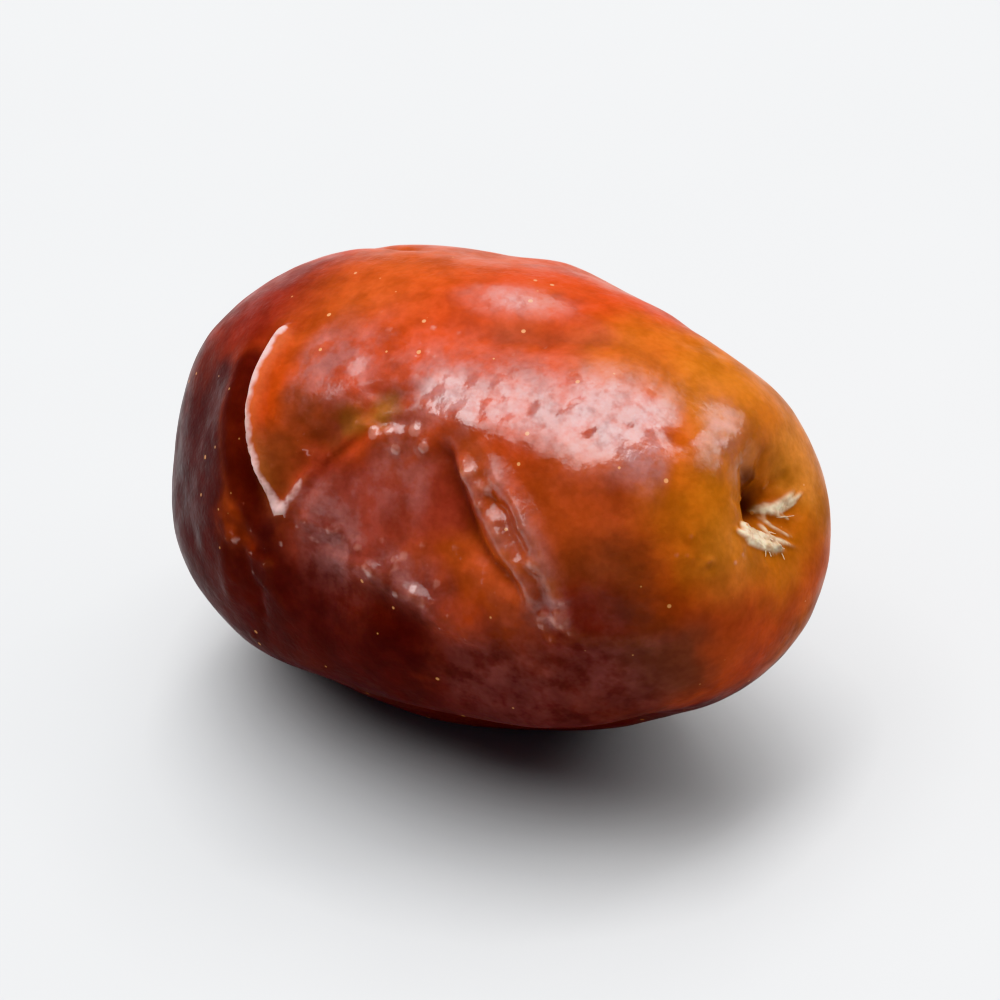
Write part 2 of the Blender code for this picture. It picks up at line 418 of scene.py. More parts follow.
def near_side_lines(skin):
    """The folds of the side with the big dent."""
    # The bright curved lip near the stalk end, with the skin fallen away behind it. Its foot
    # turns back sharply, and the crease runs up as the brow of the dent.
    lip = [(-5.5, 16), (-5.5, 24), (-5.5, 33), (-5.3, 41)]
    lip += [(-4.9, 48.5), (-4.4, 54.5), (-3.85, 60), (-3.3, 65.5)]
    arm = [(-3.3, 65.5), (-2.95, 61), (-2.6, 57.5), (-2.3, 54), (-1.9, 50.5)]
    brow = [(-3.3, 66), (-2.9, 61), (-2.3, 54), (-1.6, 47.5)]
    brow += [(-0.9, 42.6), (-0.2, 38), (0.5, 35), (1.6, 33.5)]
    skin.line([(x - 0.1, around) for x, around in lip], 0.85, -0.40, "fold", 0.15)
    skin.line(lip, 0.26, 0.28, "round", (0.10, 0.02))
    skin.line([(x + 0.70, around - 1) for x, around in lip[:-1]], 0.42, -0.15, "round", 0.2)
    # The pale line along the lip's crest is a painted highlight.
    skin.mark("pale", lip, 0.50, 1.00, (0.08, 0.02))
    # Painted shade on the skin fallen away behind the lip and below its foot.
    skin.mark("shade", [(x - 1.25, around + 3) for x, around in lip], 1.1, 0.9, 0.2)
    skin.mark("shade", [(x - 2.9, around + 6) for x, around in lip], 1.5, 0.8, 0.2)
    skin.mark("shade", [(-5.4, 58), (-5.0, 64), (-4.3, 69), (-3.6, 73)], 0.9, 0.8, 0.2)
    skin.line(arm, 0.22, 0.22, "round", (0.02, 0.35))
    # Painted highlights along the crests of the arm and of the hook below.
    skin.mark("pale", arm, 0.36, 0.92, (0.02, 0.45))
    hook = [(-2.0, 51), (-2.5, 49), (-2.85, 47.5)]
    skin.line(hook, 0.20, 0.12, "round", 0.3)
    skin.mark("pale", hook, 0.30, 0.86, 0.3)
    skin.line(brow, 0.75, 0.26, "fold", 0.12)
    skin.line([(x + 0.25, around + 2.5) for x, around in brow], 0.28, -0.24, "round", 0.15)
    # Painted shade in the brow's crease.
    skin.mark("shade", [(x + 0.15, around + 1.5) for x, around in brow[2:6]], 0.20, 0.40, 0.3)
    # The dent's wall towards the blossom end, and the crinkled band of two ridges along it.
    wall = [(2.5, 38.5), (3.2, 41.5), (3.7, 47), (4.15, 53), (4.7, 60), (5.4, 66.5), (6.4, 71.5), (7.2, 79)]
    inner = [(3.4, 40), (4.2, 45), (5.0, 52), (5.8, 59), (6.5, 65), (7.1, 72), (7.5, 80)]
    middle = [(3.9, 40), (4.9, 45), (5.9, 52), (6.7, 60), (7.3, 68), (7.8, 77), (7.9, 86)]
    outer = [(4.6, 40), (5.5, 44), (6.5, 51), (7.3, 59), (7.9, 68), (8.2, 78), (8.2, 88)]
    skin.line(wall, 0.38, -0.32, "round", 0.15)
    skin.line(inner, 0.34, 0.22, "round", 0.12)
    skin.line(middle, 0.30, -0.12, "round", 0.15)
    skin.line(outer, 0.36, 0.25, "round", 0.15)
    skin.line([(x + 0.85, around) for x, around in outer], 0.45, -0.10, "round", 0.25)
    # Lilac haze on the band's ridges: partly waxy haze, partly painted sheen.
    skin.mark("bloom_and_sheen", inner, 0.45, 0.55, 0.12)
    skin.mark("bloom_and_sheen", outer, 0.45, 0.65, 0.12)
    skin.mark("bloom_and_sheen", middle, 0.95, 0.35, 0.12)
    skin.mark("gloss", middle, 0.9, 0.60, 0.12)
    # Painted shade in the wall's crease.
    skin.mark("shade", [(x + 0.1, around) for x, around in wall], 0.30, 0.42, 0.15)
    # The low rim under the dent, and the soft ridge that goes on from it.
    rim = [(-2.4, 73), (-0.6, 74), (1.2, 76), (2.2, 79.5), (3.2, 83), (4.6, 88), (6.2, 91)]
    skin.line(rim, 0.55, 0.22, "round", 0.2)
    skin.line([(x + 0.1, around + 7.5) for x, around in rim], 0.8, -0.22, "round", 0.25)
    low_ridge = [(7.2, 86), (8.2, 86), (9.4, 88.4), (10.8, 91.4), (12.0, 95)]
    skin.line(low_ridge, 0.50, 0.15, "round", 0.3)
    # Lilac haze on the low ridge: partly waxy haze, partly painted sheen.
    skin.mark("bloom_and_sheen", low_ridge, 0.35, 0.30, 0.3)
    # The edge under the sheen, where the skin turns down more quickly.
    sheen_edge = [(1.6, 34), (3.2, 33), (4.8, 32.5), (7.2, 33.5), (9.2, 34.5), (10.9, 29)]
    skin.line(sheen_edge, 0.75, 0.15, "round", 0.3)
    # The groove along the top.
    skin.line([(-0.8, 12), (1.8, 7.5), (3.6, 3.5), (5.8, -3.5), (8.4, -12)], 0.9, -0.24, "round", 0.35)
    skin.line([(-1.2, 0), (1.4, -9), (4.2, -17)], 0.7, 0.08, "round", 0.4)
    # The crumpled skin below the lip's foot.
    skin.line([(-5.4, 71), (-5.2, 80), (-4.9, 92), (-5.4, 106)], 0.50, -0.18, "sharp", 0.3)
    skin.line([(-6.3, 74), (-6.4, 86), (-6.9, 100)], 0.45, 0.10, "round", 0.3)
    skin.line([(-4.1, 74), (-3.9, 84), (-3.3, 95)], 0.50, 0.10, "round", 0.3)
    skin.line([(-2.8, 70), (-1.2, 71), (0.6, 73)], 0.40, -0.08, "sharp", 0.3)


# The beads' places along and around, their sizes and heights.
BROW_BEADS = [
    (0.2, 40.5, 0.30, 0.13),
    (0.8, 39, 0.22, 0.10),
    (1.2, 43, 0.24, 0.15),
    (2.3, 41, 0.26, 0.15),
    (1.8, 37.5, 0.30, 0.10),
]


def crinkles(skin):
    """Small crumples where the near side's skin folds most tightly."""
    crumple(skin, [(-4.2, 52), (-3.2, 47), (-1.8, 43), (-0.6, 37), (0.8, 33)], 26, 0.6, 0.06, 0.08)
    crumple(skin, [(4.2, 43), (5.4, 50), (6.4, 59), (7.3, 69), (7.9, 80), (8.0, 88)], 64, 0.50, 0.10, 0.14)
    crumple(skin, [(-6.2, 72), (-5.2, 76), (-4.2, 74), (-5.4, 92), (-6.0, 104)], 26, 0.9, 0.09, 0.14)
    crumple(skin, [(-2.6, 66), (-1.2, 68), (0.0, 71), (1.4, 73), (2.7, 76), (4.3, 82)], 60, 0.7, 0.08, 0.17)
    crumple(skin, [(4.0, 67), (5.4, 70), (6.8, 76)], 24, 0.8, 0.06, 0.14)
    crumple(skin, [(11.4, 64), (12.0, 58), (12.3, 50)], 14, 0.6, 0.05, 0.10)
    # The beads at the brow, over the dent's deepest part, each with a painted glint.
    for x, around, size, height in BROW_BEADS:
        skin.spot(x, around, size, height, 0.34)


def crumple(skin, stops, count, scatter, height, glint):
    """Small swellings and dimples strewn along a line."""
    curve = curve_through(stops)
    for _ in range(count):
        x, around = random.choice(curve)
        x += random.gauss(0.0, scatter) * 0.6
        around += random.gauss(0.0, scatter) * 5.0
        size = random.uniform(0.13, 0.30)
        raised = random.choice((-1.0, 1.0, 1.0))
        # Raised ones get a painted glint on top.
        paleness = glint * random.uniform(0.2, 1.0) if raised > 0 else 0.0
        skin.spot(x, around, size, height * raised * random.uniform(0.5, 1.1), paleness)


def sheen_texture(skin):
    """The dimpled, slightly crazed skin of the shining upper side."""
    middle = [(-2.6, 27.5), (0.4, 27), (2.0, 26.5), (4.5, 23), (6.4, 21), (8.3, 18.5), (10.4, 17)]
    zone = skin.band(middle, 2.4, "round", 0.2)
    skin.roughen(1.15, 0.045, seed=41.0, ridged=True, zone=zone)
    skin.roughen(0.46, 0.052, seed=57.0, zone=zone)
    # Dimples and swellings, some with a faint painted glint.
    for _ in range(90):
        x, around = random.uniform(-3.5, 11.0), random.gauss(22.0, 8.0)
        size, height = random.uniform(0.18, 0.36), random.uniform(-0.09, 0.05)
        skin.spot(x, around, size, height, random.uniform(0.0, 0.08))
    # The lilac haze under the sheen: partly waxy haze, partly painted sheen.
    skin.mark("bloom_and_sheen", middle, 1.75, 0.80, (0.30, 0.15))


def sheen_marks(skin):
    """Where the upper side shines, and the lilac haze that dulls it, partly waxy and partly painted sheen.
    """
    skin.mark("bloom_and_sheen", [(1.4, 27), (3.0, 28.5), (4.6, 29.5)], 0.95, 1.00, 0.3)
    skin.mark("gloss", [(1.2, 27), (3.0, 28.5), (4.8, 29.5)], 1.00, 1.60, 0.3)
    skin.mark("gloss", [(3.6, 25.5), (5.6, 24), (7.4, 23)], 1.45, 0.90, 0.15)
    skin.mark("bloom_and_sheen", [(6.4, 24), (8.6, 19), (10.6, 17.5)], 1.70, 1.00, 0.25)
    skin.mark("gloss", [(6.2, 24), (8.6, 19), (10.6, 17.5)], 1.60, 1.70, 0.25)
    sheen_foot = [(8.4, 27), (9.8, 26), (10.9, 22)]
    skin.mark("bloom_and_sheen", sheen_foot, 1.10, 1.00, 0.3)
    skin.mark("gloss", sheen_foot, 1.20, 1.50, 0.3)
    # The lobe beside the lip, the swelling beyond the groove and the skin beside the pit.
    skin.mark("bloom_and_sheen", [(-4.4, 27), (-2.6, 27), (0.4, 24.5)], 1.8, 0.72, 0.3)
    skin.mark("gloss", [(-4.2, 28), (-2.0, 27), (0.2, 25)], 1.5, 0.40, 0.3)
    top_swell = [(-0.2, 1), (2.4, -7.5), (5.4, -17)]
    skin.mark("bloom_and_sheen", top_swell, 0.70, 0.62, 0.5)
    skin.mark("gloss", top_swell, 0.75, 0.80, 0.5)
    skin.mark("bloom_and_sheen", [(10.4, 0), (11.0, -5), (11.6, 6), (11.9, 22)], 1.2, 0.52, 0.35)
    skin.mark("gloss", [(10.3, 2), (11.0, -5), (11.6, 6), (11.9, 20)], 1.5, 0.64, 0.35)


def dent_marks(skin):
    """The lilac haze of the big dent, its brow and its low rim, partly waxy and partly painted sheen, and
    where they shine.
    """
    skin.mark("bloom_and_sheen", [(-1.9, 52), (-1.5, 58), (-1.1, 64), (-0.5, 70), (1.2, 71)], 1.9, 0.72, 0.2)
    skin.mark("bloom_and_sheen", [(-0.4, 48), (1.4, 50), (3.4, 52)], 1.8, 0.50, 0.3)
    skin.mark("gloss", [(-3.2, 64), (-1.4, 66), (0.4, 70)], 1.5, 0.28, 0.3)
    low_rim = [(0.0, 71), (1.4, 73), (2.7, 76.5), (4.3, 83)]
    skin.mark("bloom_and_sheen", low_rim, 0.9, 0.66, 0.2)
    skin.mark("gloss", low_rim, 0.7, 0.34, 0.2)
    skin.mark("bloom_and_sheen", [(0.2, 40), (1.4, 38), (2.2, 36)], 0.7, 0.65, 0.3)
    skin.mark("gloss", [(0.0, 39), (1.4, 39), (2.6, 37)], 0.8, 0.8, 0.3)
    # The blossom half beyond the dent, and the lilac haze low down on it, partly waxy and partly painted
    # sheen.
    skin.mark("gloss", [(8.6, 52), (10.6, 58), (11.8, 62)], 2.2, 0.35, 0.3)
    skin.mark("bloom_and_sheen", [(2.0, 99), (7.0, 102), (11.4, 104)], 3.0, 0.38, 0.2)


def far_side_gloss(skin):
    """The broad shining places of the side turned away."""
    skin.mark("gloss", [(-8.6, 272), (-3.0, 284), (3.0, 290), (8.6, 292)], 3.4, 0.60, 0.25)
    skin.mark("gloss", [(-9.0, 200), (-2.0, 190), (6.0, 196)], 4.0, 0.40, 0.3)


# The folds of the side turned away and of the underside: places, width, height and edge.
FAR_SIDE_LINES = [
    ([(-1.5, 320), (1.0, 310), (4.0, 305), (7.0, 302), (9.8, 300)], 0.8, -0.34, "sharp"),
    ([(-1.3, 325), (1.2, 316), (4.2, 311), (7.2, 308)], 0.7, 0.16, "round"),
    ([(-8.4, 264), (-5.4, 256), (-2.0, 249), (2.0, 243), (6.2, 238)], 0.7, -0.26, "sharp"),
    ([(-8.4, 258), (-5.4, 250), (-2.0, 243)], 0.7, 0.08, "round"),
    ([(-7.9, 326), (-5.9, 334), (-3.0, 339)], 0.5, -0.26, "sharp"),
    ([(-6.6, 282), (-5.2, 296), (-5.0, 308), (-5.8, 318)], 0.5, -0.26, "sharp"),
    ([(4.2, 268), (6.6, 272), (8.8, 270)], 0.5, -0.22, "sharp"),
    ([(-10.2, 150), (-7.4, 146), (-4.0, 143), (-0.4, 142)], 0.6, -0.24, "sharp"),
    ([(2.0, 214), (5.4, 208), (9.2, 206)], 0.6, -0.24, "sharp"),
]


def far_side_lines(skin):
    for stops, width, height, edge in FAR_SIDE_LINES:
        skin.line(stops, width, height, edge, 0.3)


def pucker(skin, centre, count, near, far, depth):
    """Furrows running out from a centre at one end, each a little off its place."""
    for number in range(count):
        around = 360 * (number + random.uniform(-0.22, 0.22)) / count
        reach = near + (far - near) * random.uniform(0.6, 1.1)
        path, facing = skin.end_path(centre, around, near, reach, random.uniform(-14, 14))
        width = random.uniform(0.20, 0.30)
        skin.lift -= depth * random.uniform(0.6, 1.2) * skin.along_path(path, facing, width, "round", 0.3)


def pale_rays(skin, centre, rays):
    """Pale torn skin round a centre: direction, start, end, width, height and paleness of each."""
    for around, near, far, width, height, strength in rays:
        path, facing = skin.end_path(centre, around, near, far, random.uniform(-10, 10))
        ray = skin.along_path(path, facing, width, "round", 0.22, 0.6)
        skin.lift += height * ray
        skin.marks["torn"] = np.maximum(skin.marks["torn"], strength * ray)


def bowl_shade(skin):
    """Painted shade on the bowl's upper side and down towards the hole."""
    for stops, width, strength in ((BOWL_SHADE, 0.75, 0.60), (PIT_SHADE, 0.45, 0.66)):
        path, facing = skin.blossom_path(stops)
        shade = strength * skin.along_path(path, facing, width, "round", 0.25)
        skin.marks["shade"] = np.maximum(skin.marks["shade"], shade)


def pale_fold(skin, stops, strands, scatter, height):
    """Torn strands of skin lying together across the bowl, as pale as dry fibre."""
    raised = np.zeros(len(skin.lift))
    for _ in range(strands):
        curve = curve_through(stops, 6)
        first = random.randrange(0, len(curve) // 4)
        last = random.randrange(len(curve) * 3 // 4, len(curve))
        sideways = np.array([random.gauss(0.0, scatter), random.gauss(0.0, scatter)])
        wavy = []
        for place in curve:
            wobble = np.array([random.gauss(0.0, 0.03), random.gauss(0.0, 0.03)])
            wavy.append(place + sideways + wobble)
        path, facing = skin.blossom_path(wavy[first : last + 1 : 4])
        strand = skin.along_path(path, facing, random.uniform(0.08, 0.15), "round", (0.25, 0.20))
        raised = np.maximum(raised, height * random.uniform(0.6, 1.1) * strand)
        skin.marks["torn"] = np.maximum(skin.marks["torn"], random.uniform(0.6, 1.0) * strand)
    skin.lift += raised


UPPER_FOLD = [(0.45, 1.35), (1.10, 1.12), (1.80, 1.02), (2.90, 1.02)]
LOWER_FOLD = [(-1.40, 2.50), (-1.05, 1.95), (-0.40, 1.10), (0.35, 0.30), (1.35, -0.65)]
BOWL_SHADE = [(-0.25, 3.20), (0.35, 2.90), (1.00, 2.35)]
PIT_SHADE = [(-0.20, 3.30), (0.15, 2.50), (0.35, 1.80)]
PIT_RAYS = [
    (240, 0.65, 1.6, 0.12, 0.06, 0.45),
    (222, 0.60, 2.0, 0.12, 0.07, 0.55),
    (200, 0.60, 2.2, 0.14, 0.08, 0.55),
    (182, 0.70, 2.0, 0.16, 0.09, 0.60),
    (160, 0.80, 1.9, 0.14, 0.07, 0.50),
    (135, 0.80, 1.5, 0.12, 0.06, 0.35),
    (276, 0.80, 1.4, 0.12, 0.06, 0.30),
    (40, 0.85, 1.3, 0.10, 0.05, 0.20),
    (330, 0.85, 1.3, 0.10, 0.05, 0.20),
]


def wrinkle(skin):
    """Unevenness of the dried skin, from soft waves to fine wrinkles."""
    skin.roughen(4.2, 0.12, stretch=(0.7, 1.0, 1.0), seed=3.1)
    skin.roughen(1.7, 0.035, stretch=(0.7, 1.0, 1.0), seed=11.7)
    skin.roughen(0.75, 0.012, stretch=(0.8, 1.0, 1.0), seed=25.3)
    for _ in range(46):
        x, around = random.uniform(-10.5, 10.5), random.uniform(0, 360)
        skin.spot(x, around, random.uniform(0.35, 0.8), -random.uniform(0.02, 0.07))


def stand_on_rest_spot(fruit):
    """Raises the blossom end, flattens the rest spot and sets the fruit where its node is."""
    bpy.ops.object.mode_set(mode="OBJECT")
    fruit.rotation_euler = (0.0, -BLOSSOM_END_RISE, 0.0)
    bpy.ops.object.transform_apply(location=False, rotation=True, scale=False)
    lowest = min(point.co.z for point in fruit.data.vertices)
    floor = lowest + REST_SPOT_DEPTH
    edit_points()
    pick(lambda co: co.z < floor)
    bpy.ops.transform.resize(value=(1.0, 1.0, 0.0), center_override=(0.0, 0.0, floor))
    bpy.ops.object.mode_set(mode="OBJECT")
    corners = [Vector(corner) for corner in fruit.bound_box]
    low = Vector([min(corner[axis] for corner in corners) for axis in range(3)])
    high = Vector([max(corner[axis] for corner in corners) for axis in range(3)])
    shift = (node_low + node_high) / 2 - (low + high) / 2
    shift.z = node_low.z - floor
    fruit.location = shift
    bpy.ops.object.transform_apply(location=True, rotation=False, scale=False)
    return shift


fruit = plump_fruit()
shrink_hollows()
sink_ends()
bpy.ops.object.mode_set(mode="OBJECT")
smoother = fruit.modifiers.new("smoother", "SUBSURF")
smoother.levels = smoother.render_levels = SKIN_LEVELS
bpy.ops.object.modifier_apply(modifier="smoother")
open_pit()
skin = Skin(fruit)
near_side_lines(skin)
crinkles(skin)
sheen_texture(skin)
sheen_marks(skin)
dent_marks(skin)
far_side_lines(skin)
far_side_gloss(skin)
pucker(skin, BLOSSOM_PIT, 9, 0.9, 2.6, 0.10)
pucker(skin, STALK_SCAR, 11, 0.9, 3.8, 0.34)
pale_rays(skin, BLOSSOM_PIT, PIT_RAYS)
bowl_shade(skin)
random.seed(TORN_SKIN_SEED)
pale_fold(skin, UPPER_FOLD, 9, 0.07, 0.16)
pale_fold(skin, LOWER_FOLD, 14, 0.10, 0.20)
wrinkle(skin)
lift = skin.lift.copy()
skin.displace()
shift = stand_on_rest_spot(fruit)
bpy.ops.object.shade_smooth()
# The lift darkens sunken skin as painted shade and pales raised skin as wear.
lift_shade_and_wear = fruit.data.attributes.new("lift", "FLOAT", "POINT")
lift_shade_and_wear.data.foreach_set("value", lift.astype(np.float32))
for kind, strength in skin.marks.items():
    marked = fruit.data.attributes.new(kind, "FLOAT", "POINT")
    marked.data.foreach_set("value", strength.astype(np.float32))
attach(fruit, "root")
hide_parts("oleaster_fruit")


# Small pieces at the two ends


def fibre(root, heading, curl, length, width):
    """A thin torn strip, drawn out of a small round and curling as it goes."""
    start_piece()
    facing = heading.to_track_quat("Z", "X")
    bpy.ops.mesh.primitive_circle_add(
        vertices=8, radius=width / 2, fill_type="NGON", location=root, rotation=facing.to_euler()
    )
    strip = bpy.context.object
    bpy.ops.object.transform_apply(location=True, rotation=True, scale=False)
    bpy.ops.object.mode_set(mode="EDIT")
    bpy.ops.mesh.select_mode(type="FACE")
    bpy.ops.mesh.select_all(action="SELECT")
    steps = 6
    tip = root.copy()
    for step in range(steps):
        move = (heading + curl * (step / steps)).normalized() * (length / steps)
        bpy.ops.mesh.extrude_region_move(TRANSFORM_OT_translate={"value": move})
        tip += move
        narrowing = random.uniform(0.72, 0.98)
        bpy.ops.transform.resize(value=(narrowing, narrowing, narrowing), center_override=tip)
    bpy.ops.mesh.select_all(action="SELECT")
    bpy.ops.mesh.normals_make_consistent(inside=False)
    bpy.ops.transform.resize(
        value=(1.0, 1.0, 0.45),
        orient_matrix=curl.to_track_quat("Z", "X").to_matrix(),
        orient_type="GLOBAL",
        center_override=(root + tip) / 2,
    )
    bpy.ops.object.mode_set(mode="OBJECT")
    return strip


def joined(pieces, name):
    """Joins pieces into one, rounded off and shaded smooth."""
    bpy.ops.object.select_all(action="DESELECT")
    for piece in pieces:
        piece.select_set(True)
    bpy.context.view_layer.objects.active = pieces[0]
    if len(pieces) > 1:
        bpy.ops.object.join()
    whole = bpy.context.object
    whole.name = name
    rounding = whole.modifiers.new("rounding", "SUBSURF")
    rounding.levels = rounding.render_levels = 2
    bpy.ops.object.modifier_apply(modifier="rounding")
    bpy.ops.object.shade_smooth()
    return whole


def tilted(direction):
    """A direction of the level fruit, as it is once the blossom end is raised."""
    return Matrix.Rotation(-BLOSSOM_END_RISE, 3, "Y") @ direction


def to_world(place):
    """Where a place in the level fruit's own frame ends up in the scene."""
    return Matrix.Rotation(-BLOSSOM_END_RISE, 4, "Y") @ place + shift


def skin_below(place, direction):
    """Where a ray meets the finished skin, or its start if it misses."""
    found, hit, _, _ = fruit.ray_cast(place, direction)
    return hit if found else place


def pit_fibres():
    """Dried threads left round the hole, thickest at its lower right."""
    outwards = tilted(Vector((1.0, 0.0, 0.0))).normalized()
    strips = []
    for number in range(14):
        around = random.gauss(190, 26 if number < 10 else 45)
        near = random.uniform(0.55, 1.3)
        ray = tilted(across(around))
        above = to_world(BLOSSOM_PIT) + ray * (near * MM) + outwards * FIBRE_RAY_START
        root = skin_below(above, -outwards) - outwards * (0.06 * MM)
        beyond = skin_below(above + ray * (0.8 * MM), -outwards) - skin_below(above, -outwards)
        heading = (beyond.normalized() + outwards * random.uniform(0.02, 0.16)).normalized()
        curl = outwards * random.uniform(-0.3, 0.1) + Vector((0.0, random.uniform(-0.7, 0.7), 0.0))
        length = random.uniform(0.6, 1.3) * MM if number < 11 else random.uniform(0.30, 0.6) * MM
        strips.append(fibre(root, heading, curl, length, random.uniform(0.05, 0.12) * MM))
    return joined(strips, "pit_fibres")


SCAR_RADIUS = 0.95 * MM


def stalk_scar():
    """The pale knobby scar where the stalk came off."""
    outwards = tilted(Vector((-1.0, 0.0, 0.0))).normalized()
    base = skin_below(to_world(STALK_SCAR) + outwards * FIBRE_RAY_START, -outwards)
    start_piece()
    facing = outwards.to_track_quat("Z", "X").to_euler()
    bpy.ops.mesh.primitive_uv_sphere_add(
        segments=28, ring_count=16, radius=SCAR_RADIUS, location=base, rotation=facing
    )
    scar = bpy.context.object
    bpy.ops.transform.resize(value=(1.0, 1.0, 0.42), orient_type="LOCAL")
    bpy.ops.object.transform_apply(location=True, rotation=True, scale=True)
    edit_points()
    for _ in range(16):
        around = random.uniform(0, 360)
        ray = tilted(across(around))
        spot = base + ray * (random.uniform(0.3, 0.9) * MM) + outwards * (0.25 * MM)
        push(spot, outwards * (random.uniform(-0.12, 0.20) * MM), random.uniform(0.25, 0.45))
    push(base + outwards * (0.4 * MM), -outwards * (0.30 * MM), 0.55)
    bpy.ops.object.mode_set(mode="OBJECT")
    return joined([scar], "stalk_scar")


fibres = pit_fibres()
scar = stalk_scar()
for piece in (fibres, scar):
    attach(piece, "root")


# Finishes


class Finish:
    """A material under construction, with short ways to add its nodes."""

    def __init__(self, name):
        self.material = bpy.data.materials.new(name)
        self.material.use_nodes = True
        self.nodes = self.material.node_tree.nodes
        self.links = self.material.node_tree.links
        self.shader = self.nodes["Principled BSDF"]

    def add(self, kind, inputs=None, **settings):
        """A new node with its settings and inputs."""
        made = self.nodes.new("ShaderNode" + kind)
        for name, value in settings.items():
            setattr(made, name, value)
        for name, value in (inputs or {}).items():
            self.put(value, made.inputs[name])
        return made

    def put(self, value, socket):
        """Links another node's output to a socket, or sets the socket to a value."""
        if isinstance(value, bpy.types.NodeSocket):
            self.links.new(value, socket)
        else:
            socket.default_value = value

    def math(self, operation, *values):
        made = self.nodes.new("ShaderNodeMath")
        made.operation = operation
        for socket, value in zip(made.inputs, values):
            self.put(value, socket)
        return made.outputs[0]

    def between(self, value, low, high, start=0.0, end=1.0):
        """Goes smoothly from start to end as value goes from low to high."""
        made = self.add("MapRange", {"Value": value}, interpolation_type="SMOOTHSTEP")
        made.inputs["From Min"].default_value = low
        made.inputs["From Max"].default_value = high
        made.inputs["To Min"].default_value = start
        made.inputs["To Max"].default_value = end
        return made.outputs["Result"]

    def blend(self, share, below, above, mode="MIX"):
        made = self.nodes.new("ShaderNodeMix")
        made.data_type = "RGBA"
        made.blend_type = mode
        self.put(share, made.inputs[0])
        self.put(below, made.inputs[6])
        self.put(above, made.inputs[7])
        return made.outputs[2]

    def noise(self, place, scale, detail=2.0, roughness=0.5, output="Fac"):
        """Soft unevenness, from 0 to 1."""
        settings = {"Vector": place, "Scale": scale, "Detail": detail, "Roughness": roughness}
        return self.add("TexNoise", settings).outputs[output]

    def vector(self, operation, first, second, output="Vector"):
        """A calculation on two vectors."""
        made = self.add("VectorMath", operation=operation)
        self.put(first, made.inputs[0])
        self.put(second, made.inputs[1])
        return made.outputs[output]

    def mark(self, name):
        """A strength that was painted on the skin."""
        return self.add("Attribute", attribute_name=name).outputs["Fac"]

    def gray(self, tone):
        """A tone as a colour without hue."""
        mixed = self.add("CombineColor")
        for channel in ("Red", "Green", "Blue"):
            self.put(tone, mixed.inputs[channel])
        return mixed.outputs["Color"]


def tint(red, green, blue):
    """A solid colour."""
    return (red, green, blue, 1.0)


DEEP_RED = tint(0.17, 0.022, 0.016)
# Partly painted shade in the big dent.
FACET_RED = tint(0.27, 0.052, 0.036)
# Also painted shade: in sunken skin, along the shade marks and, in part, on the darker low side.
MAROON = tint(0.054, 0.008, 0.007)
ORANGE_RED = tint(0.40, 0.048, 0.013)
ORANGE = tint(0.37, 0.068, 0.020)
# Partly painted light where the dent's floor faces the light.
TRIANGLE_ORANGE = tint(0.46, 0.088, 0.038)
# Also painted shade along the groove, and in part low down at the blossom end.
BROWN_ORANGE = tint(0.34, 0.062, 0.026)
OCHRE = tint(0.38, 0.116, 0.018)
LIGHT_OCHRE = tint(0.56, 0.200, 0.050)
OLIVE = tint(0.20, 0.105, 0.020)
# Partly painted shade low down at the blossom end.
DUSKY_BROWN = tint(0.160, 0.058, 0.040)
# Partly painted shade round the lobe's foot and low on the blossom half.
RUSSET = tint(0.17, 0.044, 0.022)
# Lilac haze: partly waxy, partly painted sheen.
BLOOM_AND_SHEEN_COLOR = tint(0.36, 0.145, 0.130)
SCALE_COLOR = tint(0.74, 0.36, 0.16)
# Painted glint on the beads.
BEAD_GLINT_COLOR = tint(0.62, 0.26, 0.20)
FIBRE_COLOR = tint(0.78, 0.66, 0.47)
# Painted shade in the hole.
HOLE_SHADE_COLOR = tint(0.100, 0.036, 0.028)
RAISED_COLOR = tint(0.80, 0.30, 0.12)
# Painted highlight on the crests of the lip, arm and hook.
LIP_HIGHLIGHT_COLOR = tint(0.68, 0.44, 0.41)
BROWN_FIBRE = tint(0.46, 0.27, 0.11)
DARK_GRAIN = tint(0.24, 0.10, 0.04)

